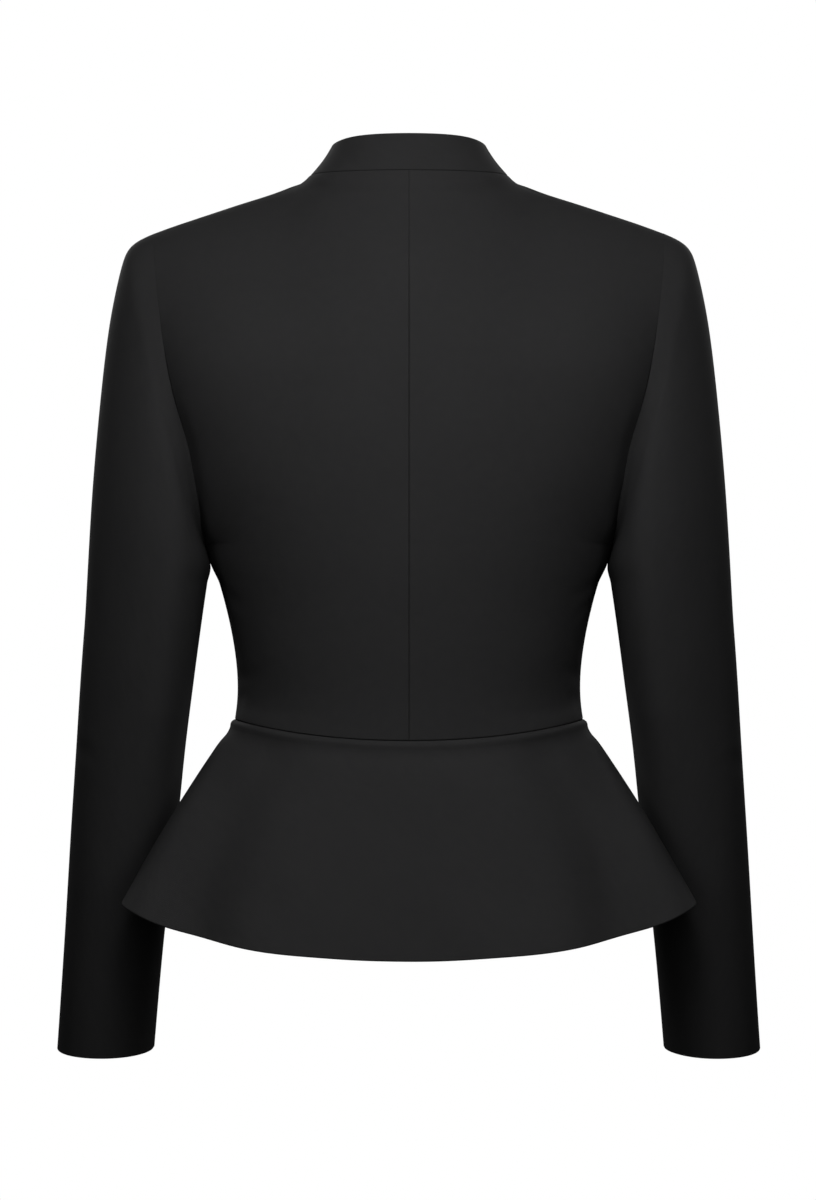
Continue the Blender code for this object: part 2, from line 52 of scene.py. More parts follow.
NECK_HALF, NECK_MID = 74.3, -6.0
NECK_BACK, NECK_FRONT = 50.0, -76.0
NECK_Z, NECK_FRONT_Z, NECK_FALL = 2.0, -68.0, 1.5
COLLAR_HALF = 57.5
COLLAR_BACK, COLLAR_FRONT = 42.5, -60.0
COLLAR_Z, COLLAR_FRONT_Z = 28.5, -42.0
COLLAR_DIP, COLLAR_END, COLLAR_ROUND = 3.6, 2.5, 13.0

SHOULDER_X, SHOULDER_Y, SHOULDER_Z = 191.0, -4.0, -41.2
UNDERARM_X, UNDERARM_Z, CHEST_Z = 150.6, -274.0, -150.0
ARM_SHARE = {"back": 0.69, "front": 0.66}
ARM_RISE = {"back": 80.0, "front": 92.0}
NECK_SHARE = 5 / 12
WAIST_SIDE_Z = -406.0
WAIST_DIP = {"back": 13.5, "front": 7.0}
BELL = 3.6
SPREAD = 0.10  # how far the bend below the neck point is spread over a panel
LEAN, FULL = 0.25, 0.14  # how much fuller the sleeve's back is on its body side


def table(names, *rows):
    return {name: [row[k] for row in rows] for k, name in enumerate(names.split())}


BODICE = table(
    "z half_width back front side full_back full_front",
    (-440, 139.5, 73.0, -103, -12, 0.56, 0.56),
    (-418, 133.6, 74.0, -104, -12, 0.56, 0.56),
    (-391, 129.2, 75.5, -105, -11, 0.56, 0.57),
    (-360, 130.2, 80.0, -110, -10, 0.57, 0.60),
    (-325, 136.6, 86.0, -118, -8, 0.58, 0.63),
    (-290, 146.0, 92.0, -126, -6, 0.60, 0.66),
    (-256, 156.0, 96.0, -129, -4, 0.62, 0.68),
    (-205, 179.0, 99.0, -124, -2, 0.65, 0.68),
    (-150, 196.0, 97.5, -107, 0, 0.67, 0.67),
    (-100, 204.0, 91.0, -87, 0, 0.67, 0.66),
)
SHOULDER = table(
    "x z",
    (74.3, 2.0),
    (78.0, -1.6),
    (85.0, -4.8),
    (96.0, -9.0),
    (123.0, -18.0),
    (151.0, -27.2),
    (177.0, -36.0),
    (191.0, -41.2),
)
HEM = table(
    "at x y z",
    (0.00, 0, 116, -577.3),  # centre back
    (0.25, 63.9, 113.5, -574.9),
    (0.50, 123.4, 104, -568.4),
    (0.66, 156.0, 85, -561.0),  # soft hollow
    (0.80, 187.1, 80, -552.1),
    (0.90, 207.1, 66, -542.9),  # side fold
    (0.96, 212.0, 38, -540.1),
    (1.00, 206, 4, -540.5),  # side seam
    (1.10, 185.8, -15.8, -541.5),  # hollow where the sleeve hangs
    (1.30, 163, -56, -546.0),
    (1.50, 127, -97, -553.0),
    (1.75, 67, -131, -560.0),
    (2.00, 0, -142, -563.0),  # centre front
)
# Sleeve rings from the armhole to the cuff: where the ring's outer and inner ends are,
# how far it has turned from the armhole's shape to a round, and its forward tilt.
RINGS = table(
    "outer_x outer_z inner_x inner_z round tilt",
    (191.0, -41.2, 150.6, -274.0, 0.00, 0.00),
    (199.5, -45.0, 151.6, -276.5, 0.12, 0.00),
    (206.8, -49.5, 151.6, -279.0, 0.25, 0.00),
    (211.5, -55.0, 151.4, -281.5, 0.40, 0.00),
    (215.0, -64.0, 151.2, -284.0, 0.55, 0.00),
    (219.5, -83.0, 151.0, -286.5, 0.70, 0.00),
    (225.0, -114.0, 150.8, -289.0, 0.83, 0.00),
    (230.5, -160.0, 150.6, -292.0, 0.92, 0.00),
    (235.5, -212.0, 150.8, -296.0, 0.97, 0.00),
    (239.3, -262.0, 151.6, -302.0, 1.00, 0.00),
    (242.8, -318.0, 154.0, -318.0, 1.00, 0.00),
    (244.9, -345.0, 157.8, -345.0, 1.00, 0.02),
    (248.2, -385.0, 163.3, -385.0, 1.00, 0.04),
    (252.0, -436.0, 170.2, -436.0, 1.00, 0.06),
    (257.0, -500.0, 177.4, -500.0, 1.00, 0.08),
    (262.3, -571.0, 186.6, -571.0, 1.00, 0.09),
    (269.3, -659.5, 195.3, -659.5, 1.00, 0.09),
)
SLEEVE_DEPTH = table(
    "z mid_y depth",
    (-40, 0.0, 50.0),
    (-100, 0.0, 55.0),
    (-150, 0.0, 57.5),
    (-200, -0.8, 59.3),
    (-250, -2.8, 60.0),
    (-290, -5.8, 59.3),
    (-318, -8.6, 58.0),
    (-345, -12.0, 56.3),
    (-385, -18.0, 53.7),
    (-436, -26.5, 51.0),
    (-500, -37.5, 48.5),
    (-571, -50.0, 46.0),
    (-659.5, -64.5, 43.5),
)

# ---------------------------------------------------------------- curves


def smooth(xs, ys):
    """A natural cubic curve through the points, as a function of an array."""
    xs, ys = np.array(xs, float), np.array(ys, float)
    order = np.argsort(xs)
    xs, ys = xs[order], ys[order]
    n, h = len(xs), np.diff(xs)
    left, right = np.zeros((n, n)), np.zeros(n)
    left[0, 0] = left[-1, -1] = 1
    for k in range(1, n - 1):
        left[k, k - 1 : k + 2] = h[k - 1], 2 * (h[k - 1] + h[k]), h[k]
        right[k] = 6 * ((ys[k + 1] - ys[k]) / h[k] - (ys[k] - ys[k - 1]) / h[k - 1])
    bend = np.linalg.solve(left, right)

    def at(x):
        x = np.asarray(x, float)
        k = np.clip(np.searchsorted(xs, x) - 1, 0, n - 2)
        a, b = (xs[k + 1] - x) / h[k], (x - xs[k]) / h[k]
        curved = ((a**3 - a) * bend[k] + (b**3 - b) * bend[k + 1]) * h[k] ** 2 / 6
        return a * ys[k] + b * ys[k + 1] + curved

    return at


def curves(rows, key):
    return {name: smooth(rows[key], rows[name]) for name in rows if name != key}


def mirrored_ends(rows, key, flips):
    low, high = rows[key][0], rows[key][-1]
    longer = {}
    for name, column in rows.items():
        if name == key:
            before = [2 * low - c for c in column[3:0:-1]]
            after = [2 * high - c for c in column[-2:-5:-1]]
        else:
            sign = -1 if name in flips else 1
            before = [sign * c for c in column[3:0:-1]]
            after = [sign * c for c in column[-2:-5:-1]]
        longer[name] = before + column + after
    return longer


TORSO = curves(BODICE, "z")
SEAM_LINE = curves(SHOULDER, "x")
HEM_LINE = curves(mirrored_ends(HEM, "at", ("x",)), "at")
DEPTH = curves(SLEEVE_DEPTH, "z")
RING = curves({"k": list(range(len(RINGS["round"]))), **RINGS}, "k")


def unit(v):
    return v / np.maximum(np.linalg.norm(v, axis=-1, keepdims=True), 1e-9)


def ease(s):
    s = np.clip(s, 0.0, 1.0)
    return s * s * (3 - 2 * s)


def bell(x, middle, width):
    return np.exp(-(((x - middle) / width) ** 2))


def bez(t, a, b, c, d):
    r = 1 - t
    return r**3 * a + 3 * r * r * t * b + 3 * r * t * t * c + t**3 * d


def xyz(x, y, z):
    return np.stack(np.broadcast_arrays(x, y, z), axis=-1).astype(float)


# ---------------------------------------------------------------- the form


def section(face, share, z):
    t, side = np.abs(share), TORSO["side"](z)
    width, middle = TORSO["half_width"](z), TORSO[face](z)
    full = TORSO["full_" + face](z)
    x = bez(t, 0, full * width, width, width)
    y = bez(t, middle, middle, side + full * (middle - side), side)
    return xyz(x, y, z)


def neck_ring(angle, half, back, front, z_back, z_side, z_front, dip=0.0):
    a = np.radians(angle)
    s, c = np.sin(a), np.cos(a)
    behind = c >= 0
    y = np.where(behind, NECK_MID + (back - NECK_MID) * c, NECK_MID + (NECK_MID - front) * c)
    fall = np.maximum(-c, 0.0) ** NECK_FALL
    z = np.where(behind, z_side + z_back(c), z_side + (z_front - z_side) * fall)
    return xyz(half * s, y, z - dip * np.abs(s) ** 6)


def neck_seam(angle):
    return neck_ring(
        angle, NECK_HALF, NECK_BACK, NECK_FRONT, lambda c: -1.0 * c * c, NECK_Z, NECK_FRONT_Z
    )


def collar_top(angle):
    return neck_ring(
        angle,
        COLLAR_HALF,
        COLLAR_BACK,
        COLLAR_FRONT,
        lambda c: 0.6 * c,
        COLLAR_Z,
        COLLAR_FRONT_Z,
        COLLAR_DIP,
    )


def neck_rise(angle):
    a = np.radians(angle)
    side = np.abs(np.sin(a)) ** 1.5
    lean = np.where(np.cos(a) > 0, 0.45, 0.36) * (1 - side) + 0.85 * side
    return unit(xyz(-np.sin(a) * lean, -np.cos(a) * lean, 0.9 * (1 - side) + 0.62 * side))


def front_x(u):
    return u / 0.2 * FRONT_SPAN


def neck_angle(face, u):
    share = u / NECK_SHARE
    if face == "back":
        return 90 * share
    straight = 180 - np.degrees(np.arcsin(np.clip(front_x(u) / NECK_HALF, 0, 1)))
    blend = ease((u - 0.16) / 0.18)
    return straight * (1 - blend) + (180 - 90 * share) * blend


def top_edge(face, u):
    """Top of a panel at place u, and the way the cloth arrives there."""
    over = np.array([0, -0.99 if face == "back" else 0.99, 0.14])
    on_neck = u <= NECK_SHARE
    low_u = np.minimum(u, NECK_SHARE)
    angle = neck_angle(face, low_u)
    near = ease((low_u / NECK_SHARE - 0.6) / 0.4)[..., None]
    neck, neck_way = neck_seam(angle), unit(neck_rise(angle) * (1 - 0.5 * near) + over * 0.5 * near)
    share = np.maximum((u - NECK_SHARE) / (1 - NECK_SHARE), 0)
    x = NECK_HALF + (SHOULDER_X - NECK_HALF) * share
    y = NECK_MID + (SHOULDER_Y - NECK_MID) * share
    near = (1 - ease(share / 0.25))[..., None]
    way = unit(over * (1 - 0.5 * near) + neck_rise(np.array(90.0)) * 0.5 * near)
    shoulder = xyz(x, y, SEAM_LINE["z"](x))
    pick = on_neck[..., None]
    return np.where(pick, neck, shoulder), np.where(pick, neck_way, way)


def share_of(face, u, v):
    cut = ARM_SHARE[face]
    bend = 1 - (1 - cut) * np.sin(np.clip(v - 1, 0, 1) * math.pi / 2)
    return u * bend


def straight_share(z, x):
    low, high = np.zeros(np.broadcast(z, x).shape), np.full(np.broadcast(z, x).shape, 0.5)
    for _ in range(26):
        mid = (low + high) / 2
        under = section("front", mid, z)[..., 0] < x
        low, high = np.where(under, mid, low), np.where(under, high, mid)
    return low


def row_height(face, u, v):
    waist = WAIST_SIDE_Z - WAIST_DIP[face] * np.cos(np.minimum(u, 1.0) * math.pi / 2) ** 2
    low = waist + (UNDERARM_Z - waist) * np.clip(v, 0, 1)
    low = low + ARM_RISE[face] * (1 - np.cos(np.clip(v - 1, 0, 1) * math.pi / 2))
    return low + (CHEST_Z - UNDERARM_Z - ARM_RISE[face]) * np.clip(v - 2, 0, 1)


def bodice(face, u, v):
    """u is 0 in the middle and 1 at the side or armhole, v is 0 at the waist, 1 at the
    underarm, 3 at the chest line and 4 at the neck and shoulder seams."""
    u, v = np.broadcast_arrays(np.asarray(u, float), np.asarray(v, float))
    sign, w = np.where(u < 0, -1.0, 1.0), np.abs(u)

    def low(z, row):
        share = share_of(face, w, row)
        if face == "front":
            keep = 1 - ease((w - 0.2) / 0.12)
            share = share + keep * (straight_share(z, front_x(np.minimum(w, 0.34))) - share)
        return section(face, share, z)

    p = low(row_height(face, w, np.minimum(v, 3)), np.minimum(v, 3))
    if v.max() > 3:
        three = np.full_like(v, 3.0)
        chest = np.full_like(v, CHEST_Z)
        start = low(chest, three)
        rise = unit(low(chest + 4, three) - low(chest - 4, three))
        end, way = top_edge(face, w)
        far = np.linalg.norm(end - start, axis=-1)
        reach = 0.34 - 0.16 * ease(w / NECK_SHARE)
        reach = reach + 0.08 * ease((w - NECK_SHARE) / (1 - NECK_SHARE))
        s = np.clip(v - 3, 0, 1)[..., None]
        first = start + rise * (far * 0.38)[..., None]
        up = bez(s, start, first, end - way * (far * reach)[..., None], end)
        p = np.where((v > 3)[..., None], up, p)
    p[..., 0] *= sign
    return p


def bodice_net(face, us, rows):
    """A panel's net, with the bend below the neck point spread out sideways."""
    fine = np.linspace(0, 1, 361)
    net = bodice(face, *np.meshgrid(fine, rows))
    wide = np.concatenate(
        [net[:, :0:-1] * np.array([-1.0, 1, 1]), net, 2 * net[:, -1:] - net[:, -2::-1]], axis=1
    )
    for r, v in enumerate(rows):
        spread = SPREAD * float(ease((4 - v) / 0.16) * ease((v - 2.9) / 0.5)) * (len(fine) - 1)
        if spread > 0.3:
            reach = int(3.5 * spread) + 1
            kernel = np.exp(-0.5 * (np.arange(-reach, reach + 1) / spread) ** 2)
            kernel /= kernel.sum()
            for k in range(3):
                soft = np.convolve(wide[r, :, k], kernel, "same")
                net[r, :, k] = soft[len(fine) - 1 : 2 * len(fine) - 1]
    out = np.stack(
        [[np.interp(np.abs(us), fine, row[:, k]) for k in range(3)] for row in net]
    ).transpose(0, 2, 1)
    out[..., 0] *= np.where(us < 0, -1.0, 1.0)
    return out


def hem(at):
    return xyz(*[HEM_LINE[k](at) for k in "xyz"])


def hem_place(x):
    low, high = np.full(np.shape(x), 1.5), np.full(np.shape(x), 2.0)
    for _ in range(26):
        mid = (low + high) / 2
        over = HEM_LINE["x"](mid) > x
        low, high = np.where(over, mid, low), np.where(over, high, mid)
    return low


def peplum(face, u, v):
    """v is 0 at the waist seam and 1 at the hem."""
    u, v = np.broadcast_arrays(np.asarray(u, float), np.asarray(v, float))
    waist, w = bodice(face, u, np.zeros_like(v)), np.abs(u)
    at = w
    if face == "front":
        straight = 1 - ease((w - 0.2) / 0.2)
        at = 2 - w + straight * (hem_place(front_x(np.minimum(w, 0.42)) * 1.1) - 2 + w)
    low = hem(at)
    low[..., 0] *= np.where(u < 0, -1.0, 1.0)
    fall = low - waist
    out = unit(fall * np.array([1, 1, 0]))
    side = ease((1 - np.abs(1 - at)) / 0.8)
    push = (BELL * side * np.sin(math.pi * v))[..., None]
    return waist + fall * v[..., None] + out * push


def collar(angle, v):
    low, high = neck_seam(angle), collar_top(angle)
    end = NECK_HALF * np.sin(np.radians(angle)) - COLLAR_END
    inside = np.clip(COLLAR_ROUND - end, 0, COLLAR_ROUND)
    drop = COLLAR_ROUND - np.sqrt(np.maximum(COLLAR_ROUND**2 - inside**2, 0.0))
    drop = np.where((angle > 90) & (end < COLLAR_ROUND), drop, 0.0)
    high = high + unit(low - high) * (drop * 0.92)[..., None]
    out = unit((low - np.array([0, NECK_MID, 0])) * np.array([1, 1, 0]))
    bow = (1.2 * np.sin(math.pi * v))[..., None]
    return low + (high - low) * v[..., None] - out * bow


def round_sleeve(z, angles):
    """Depth round a sleeve section, as the solid has it."""
    rear, body = np.maximum(np.sin(angles), 0), np.maximum(np.cos(angles), 0)
    lean = LEAN * np.clip((z + 530) / 130, 0, 1) * rear * np.cos(angles)
    full = FULL * np.clip((z + 500) / 100, 0, 1) * 2.6 * rear * body**2
    return np.sin(angles) * (1 + lean) + full


def sleeve(rows, ks):
    """The left sleeve: rings at ring places ks, from the armhole to the cuff."""
    up = bodice("back", np.ones(len(rows)), np.array(rows))
    down = bodice("front", np.ones(len(rows) - 2), np.array(rows[-2:0:-1]))
    loop, top = np.vstack([up, down]), len(rows) - 1
    closed = np.vstack([loop, loop[:1]])
    run = np.concatenate([[0], np.cumsum(np.linalg.norm(np.diff(closed, axis=0), axis=1))])
    angles = np.radians(
        np.concatenate(
            [
                run[: top + 1] / run[top] * 180,
                180 + (run[top + 1 : -1] - run[top]) / (run[-1] - run[top]) * 180,
            ]
        )
    )
    chord = loop[top] - loop[0]
    across = unit(np.array([chord[2], 0, -chord[0]]))
    along = (loop - loop[0]) @ chord / (chord @ chord)
    off = (loop - loop[0]) @ across
    net = []
    for k in ks:
        outer = np.array([RING["outer_x"](k), 0, RING["outer_z"](k)], float)
        inner = np.array([RING["inner_x"](k), 0, RING["inner_z"](k)], float)
        w = float(np.clip(RING["round"](k), 0, 1)) if k > 0 else 0.0
        side = unit(np.array([(outer - inner)[2], 0, -(outer - inner)[0]]))
        q = along * (1 - w) + (1 - np.cos(angles)) / 2 * w
        ring = inner + q[:, None] * (outer - inner) + (off * (1 - w))[:, None] * side
        mid, deep = DEPTH["mid_y"](ring[:, 2]), DEPTH["depth"](ring[:, 2])
        y = deep * round_sleeve(ring[:, 2], angles)
        ring[:, 1] = loop[:, 1] * (1 - w) + (mid + y) * w
        ring[:, 2] -= np.maximum(RING["tilt"](k), 0.0) * y * w
        net.append(loop if k == 0 else ring)
    return np.array(net), angles


# ---------------------------------------------------------------- cloth shells

EDGE_STEPS = np.array([0, 0.12, 0.3, 0.5, 0.75, 1.05, 1.5, 2.2, 3.2, 4.6, 6.5])
LINE_STEPS = np.array([-4.2, -2.8, -1.9, -1.2, -0.7, -0.35, 0, 0.35, 0.7, 1.2, 1.9, 2.8, 4.2])


def places(low, high, count, length, edges=(True, True), lines=()):
    """Net places from low to high over a run of that length in mm, closer together at
    its ends and beside each line."""
    span = high - low
    fine = [np.linspace(low, high, count + 1)]
    step = EDGE_STEPS / length * span
    for wanted, spots in ((edges[0], low + step), (edges[1], high - step)):
        if wanted:
            fine[0] = fine[0][np.abs(fine[0] - spots[0]) > step[-1]]
            fine.append(spots)
    for at in lines:
        spots = at + LINE_STEPS / length * span
        fine[0] = fine[0][np.abs(fine[0] - at) > spots[-1] - at]
        fine.append(spots)
    return np.unique(np.round(np.concatenate([*fine, [low, high]]), 7))


def net_normals(p, tube=False):
    across = np.roll(p, -1, 1) - np.roll(p, 1, 1) if tube else np.gradient(p, axis=1)
    return unit(np.cross(across, np.gradient(p, axis=0)))


def runs(p, axis):
    """Length along the net's rows (axis 1) or columns (axis 0), from its first point."""
    d = np.linalg.norm(np.diff(p, axis=axis), axis=-1)
    zero = np.zeros_like(np.take(d, [0], axis=axis))
    return np.cumsum(np.concatenate([zero, d], axis=axis), axis=axis)


def turn(distance, radius):
    """How far a turned edge of that radius has dropped, that far from the edge."""
    inside = np.clip(radius - distance, 0, radius)
    return radius - np.sqrt(np.maximum(radius**2 - inside**2, 0.0))


def uneven(a, b, *waves):
    """A soft uneven field in -1..1 from a few slow waves (along a, along b, start)."""
    total = sum(np.sin(a * fa + b * fb + s + 0.8 * np.sin(a * fb * 0.37 - b * fa * 0.41 + 2 * s)) for fa, fb, s in waves)
    return total / len(waves)


def fold(a, b, at, way, length, width, bow=0.0):
    """One soft crease: a trough that starts at a point and runs a length in a direction,
    tapering at both ends, with a slight bow. a and b are lengths over the cloth in mm."""
    c, s = math.cos(math.radians(way)), math.sin(math.radians(way))
    along = (a - at[0]) * c + (b - at[1]) * s
    t = along / length
    across = -(a - at[0]) * s + (b - at[1]) * c - bow * np.sin(np.clip(t, 0, 1) * math.pi)
    taper = np.sin(np.clip(t, 0, 1) * math.pi) ** 1.3
    spread = width * (0.75 + 0.5 * np.clip(t, 0, 1))
    trough = np.exp(-((across / spread) ** 2))
    ridge = np.exp(-(((np.abs(across) - 2.0 * spread) / (1.1 * spread)) ** 2))
    return taper * (-trough + 0.45 * ridge)


CLOTH_MATERIAL = None


def shell(name, base, relief, seams, free, cloth=CLOTH, tube=False, mirrored=False):
    """Makes one cloth piece. base is its outside net in mm, relief what is added along the
    normal, seams and free the turning radius of its sewn and open edges by edge name."""
    out = net_normals(base, tube)
    middle = base.mean(axis=1, keepdims=True) if tube else np.array([0, NECK_MID, 0])
    if (out * (base - middle) * np.array([1, 1, 0])).sum() < 0:
        out = -out
    lines, columns = runs(base, 1), runs(base, 0)
    from_edge = {
        "first": lines,
        "last": lines[:, -1:] - lines,
        "low": columns,
        "high": columns[-1:] - columns,
    }
    drop = np.zeros(base.shape[:2])
    lift = np.zeros(base.shape[:2])
    for edge, radius in {**seams, **free}.items():
        drop = np.maximum(drop, turn(from_edge[edge], 1.0) * radius)
    for edge, radius in free.items():
        lift = np.maximum(lift, turn(from_edge[edge], 1.0) * radius)
    outer = base + out * (relief - drop)[..., None]
    inner = base + out * (relief - cloth + lift)[..., None]
    rows, cols = base.shape[:2]
    wrap = cols if tube else cols - 1
    r, c = np.meshgrid(np.arange(rows - 1), np.arange(wrap), indexing="ij")
    a, b = r * cols + c, r * cols + (c + 1) % cols
    face = np.stack([a, b, b + cols, a + cols], axis=-1).reshape(-1, 4)
    n = rows * cols
    quads = [face, face[:, ::-1] + n]
    ring = np.arange(wrap)
    for row, flip in ((0, True), (rows - 1, False)):
        e0, e1 = row * cols + ring, row * cols + (ring + 1) % cols
        rim = np.stack([e0, e1, e1 + n, e0 + n], axis=-1)
        quads.append(rim[:, ::-1] if flip else rim)
    if not tube:
        side = np.arange(rows - 1)
        for col, flip in ((0, False), (cols - 1, True)):
            e0, e1 = side * cols + col, (side + 1) * cols + col
            rim = np.stack([e0, e1, e1 + n, e0 + n], axis=-1)
            quads.append(rim[:, ::-1] if flip else rim)
    verts = np.concatenate([outer.reshape(-1, 3), inner.reshape(-1, 3)]) * MM
    quads = np.concatenate(quads)
    # which way round the faces go: the first must face out
    p = verts[quads[len(face) // 2]]
    way = np.cross(p[1] - p[0], p[2] - p[0]) @ out.reshape(-1, 3)[quads[len(face) // 2][0]]
    if way < 0:
        quads = quads[:, ::-1]
    mesh = bpy.data.meshes.new(name + "_cloth")
    mesh.from_pydata(verts.tolist(), [], quads.tolist())
    uv = np.stack([lines, columns], axis=-1).reshape(-1, 2) * MM
    uv = np.concatenate([uv, uv])
    layer = mesh.uv_layers.new(name="cloth")
    corner = np.empty(len(mesh.loops), dtype=np.int64)
    mesh.loops.foreach_get("vertex_index", corner)
    layer.data.foreach_set("uv", uv[corner].astype(np.float32).ravel())
    mesh.shade_smooth()
    mesh.materials.append(CLOTH_MATERIAL)
    obj = bpy.data.objects.new(name + "_cloth", mesh)
    bpy.context.scene.collection.objects.link(obj)
    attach(obj, "root")
    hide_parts(name)
    step = np.cross(base[1:, 1:] - base[:-1, :-1], base[1:, :-1] - base[:-1, 1:])
    print(
        f"{name}: {len(quads) * 2} triangles, widest {lines[:, -1].max():.0f} mm, "
        f"longest {columns[-1].max():.0f} mm, area {np.linalg.norm(step, axis=-1).sum() / 2e6:.4f} m2"
    )
    return obj


# ---------------------------------------------------------------- suiting


def suiting():
    """Black fine-twill suiting: yarns and twill lines by the cloth's own lengths."""
    material = bpy.data.materials.new("suiting")
    material.use_nodes = True
    nodes, links = material.node_tree.nodes, material.node_tree.links
    shader = nodes["Principled BSDF"]
    shader.inputs["Specular IOR Level"].default_value = 0.08
    shader.inputs["Sheen Weight"].default_value = 0.004
    shader.inputs["Sheen Roughness"].default_value = 0.5
    shader.inputs["Metallic"].default_value = 0.0

    def node(kind, **settings):
        made = nodes.new(kind)
        for key, value in settings.items():
            if key in made.inputs:
                made.inputs[key].default_value = value
            else:
                setattr(made, key, value)
        return made

    place = node("ShaderNodeUVMap", uv_map="cloth")
    turned = node("ShaderNodeMapping", Rotation=(0, 0, math.radians(58)))
    links.new(place.outputs[0], turned.inputs["Vector"])
    twill = node("ShaderNodeTexWave", Scale=470.0, Distortion=1.2, Detail=1.0)
    twill.inputs["Detail Scale"].default_value = 2.0
    links.new(turned.outputs[0], twill.inputs["Vector"])
    weft = node("ShaderNodeTexWave", Scale=760.0, Distortion=0.8, bands_direction="Y")
    links.new(place.outputs[0], weft.inputs["Vector"])
    yarn = node("ShaderNodeTexNoise", Scale=1500.0, Detail=3.0, Roughness=0.6)
    links.new(place.outputs[0], yarn.inputs["Vector"])
    slub = node("ShaderNodeTexNoise", Scale=130.0, Detail=4.0, Roughness=0.55)
    links.new(place.outputs[0], slub.inputs["Vector"])
    press = node("ShaderNodeTexNoise", Scale=11.0, Detail=2.0, Roughness=0.5)
    links.new(place.outputs[0], press.inputs["Vector"])

    def mixed(a, b, amount):
        m = node("ShaderNodeMix", data_type="FLOAT")
        m.inputs["Factor"].default_value = amount
        links.new(a, m.inputs[2])
        links.new(b, m.inputs[3])
        return m.outputs[0]

    weave = mixed(twill.outputs["Fac"], weft.outputs["Fac"], 0.35)
    height = mixed(weave, yarn.outputs["Fac"], 0.4)
    height = mixed(height, slub.outputs["Fac"], 0.25)
    bump = node("ShaderNodeBump", Strength=0.35, Distance=0.00025)
    links.new(height, bump.inputs["Height"])
    links.new(bump.outputs["Normal"], shader.inputs["Normal"])

    tone = mixed(mixed(weave, yarn.outputs["Fac"], 0.5), press.outputs["Fac"], 0.35)
    tone = mixed(tone, slub.outputs["Fac"], 0.3)
    ramp = node("ShaderNodeValToRGB")
    ramp.color_ramp.elements[0].position = 0.25
    ramp.color_ramp.elements[0].color = (0.0155, 0.0155, 0.0160, 1)
    ramp.color_ramp.elements[1].position = 0.75
    ramp.color_ramp.elements[1].color = (0.0255, 0.0253, 0.0256, 1)
    links.new(tone, ramp.inputs["Fac"])
    links.new(ramp.outputs["Color"], shader.inputs["Base Color"])

    rough = node("ShaderNodeMapRange")
    rough.inputs["To Min"].default_value = 0.74
    rough.inputs["To Max"].default_value = 0.90
    links.new(slub.outputs["Fac"], rough.inputs["Value"])
    links.new(rough.outputs["Result"], shader.inputs["Roughness"])
    return material


CLOTH_MATERIAL = suiting()

# ---------------------------------------------------------------- the pieces

OTHER_SIDE = np.array([-1.0, 1.0, 1.0])


def row_places(fine=1.0):
    def n(count):
        return int(count * fine)

    low = places(0, 1, n(58), 140, (True, False))
    arc = np.linspace(1, 2, n(36) + 1)[1:]
    mid = np.linspace(2, 3, n(20) + 1)[1:]
    top = places(3, 4, n(66), 155, (False, True))[1:]
    return np.concatenate([low, arc, mid, top])


ROWS = row_places()
BACK_U = places(0, 1, 84, 190)
DART = 0.5  # place of the front waist dart
LAP_U = 0.2 * LAP / FRONT_SPAN
FRONT_U = np.concatenate(
    [
        places(-LAP_U, 0.2 * LAP_RUN[1] / FRONT_SPAN, 26, LAP + LAP_RUN[1], (True, False)),
        places(0.2 * LAP_RUN[1] / FRONT_SPAN, 1, 74, 165, (False, True), (DART,))[1:],
    ]
)


def back_relief(side):
    u, v = np.meshgrid(BACK_U, ROWS)
    a, b = u * 190, v * 140  # rough lengths over the cloth
    soft = 0.22 * uneven(a, b, (0.021, 0.013, 0.4 + side), (-0.012, 0.027, 2.1), (0.034, -0.016, 4.0 - side))
    # shallow drag lines that run from under the arm and out of the waist's hollow
    drag = (
        0.55 * fold(a, b, (186, 118), 198 + 3 * side, 74, 5.0, 4)
        + 0.40 * fold(a, b, (188, 96), 190 - 2 * side, 58, 4.6, -3)
        + 0.42 * fold(a, b, (184, 34), 168 + 4 * side, 66, 5.5, 4)
        + 0.30 * fold(a, b, (186, 14), 174 - 3 * side, 52, 4.5, -2)
    )
    # the small of the back is drawn in above the waist, most towards the sides
    drawn = -2.8 * bell(v, 0.16, 0.2) * ease(v / 0.1) * bell(u, 0.72, 0.26) * ease((1 - u) / 0.15)
    return soft + drag + drawn


def front_relief(side):
    u, v = np.meshgrid(FRONT_U, ROWS)
    a, b = u * 190, v * 140
    soft = 0.25 * uneven(a, b, (0.018, 0.015, 1.4 + side), (-0.014, 0.023, 0.6), (0.03, -0.019, 3.3 - side))
    drag = (
        0.55 * fold(a, b, (186, 126), 205 + 4 * side, 66, 5.0, 4)
        + 0.40 * fold(a, b, (187, 104), 196 - 3 * side, 50, 4.5, -3)
        + 0.38 * fold(a, b, (182, 30), 166 + 3 * side, 60, 5.0, 3)
    )
    # the waist dart: a stitched line that ends below the fullest place of the chest
    stop = 1 - ease((v - 0.72) / 0.22)
    line = -0.75 * bell(a, DART * 190, 0.8) * stop + 0.25 * bell(np.abs(a - DART * 190), 3.2, 2.0) * stop
    return soft + drag + line


def arm_edge(v, radius):
    """The turned armhole edge dies away under the arm and over the shoulder."""
    return radius * ease((v - 1.15) / 0.5) * (1 - ease((v - 2.75) / 0.6))


def tuck(v, d, face="back"):
    """How far the armhole seam is drawn in, that far from it: the crease beside the arm."""
    depth = 4.6 if face == "back" else 3.0
    deep = depth * ease((v - 1.02) / 0.22) * (1 - ease((v - 1.75) / 1.3))
    return deep * np.exp(-((d / 7.5) ** 2))


def closing(z):
    """How far the side and the sleeve's inner edge each lean over to touch just below the
    underarm."""
    inner = np.interp(-z, -np.array(RINGS["inner_z"]), RINGS["inner_x"])
    gap = np.maximum(inner - TORSO["half_width"](z) - 0.3, 0.0)
    return 0.5 * gap * (1 - ease((-285 - z) / 19)) * ease((-262 - z) / 16)


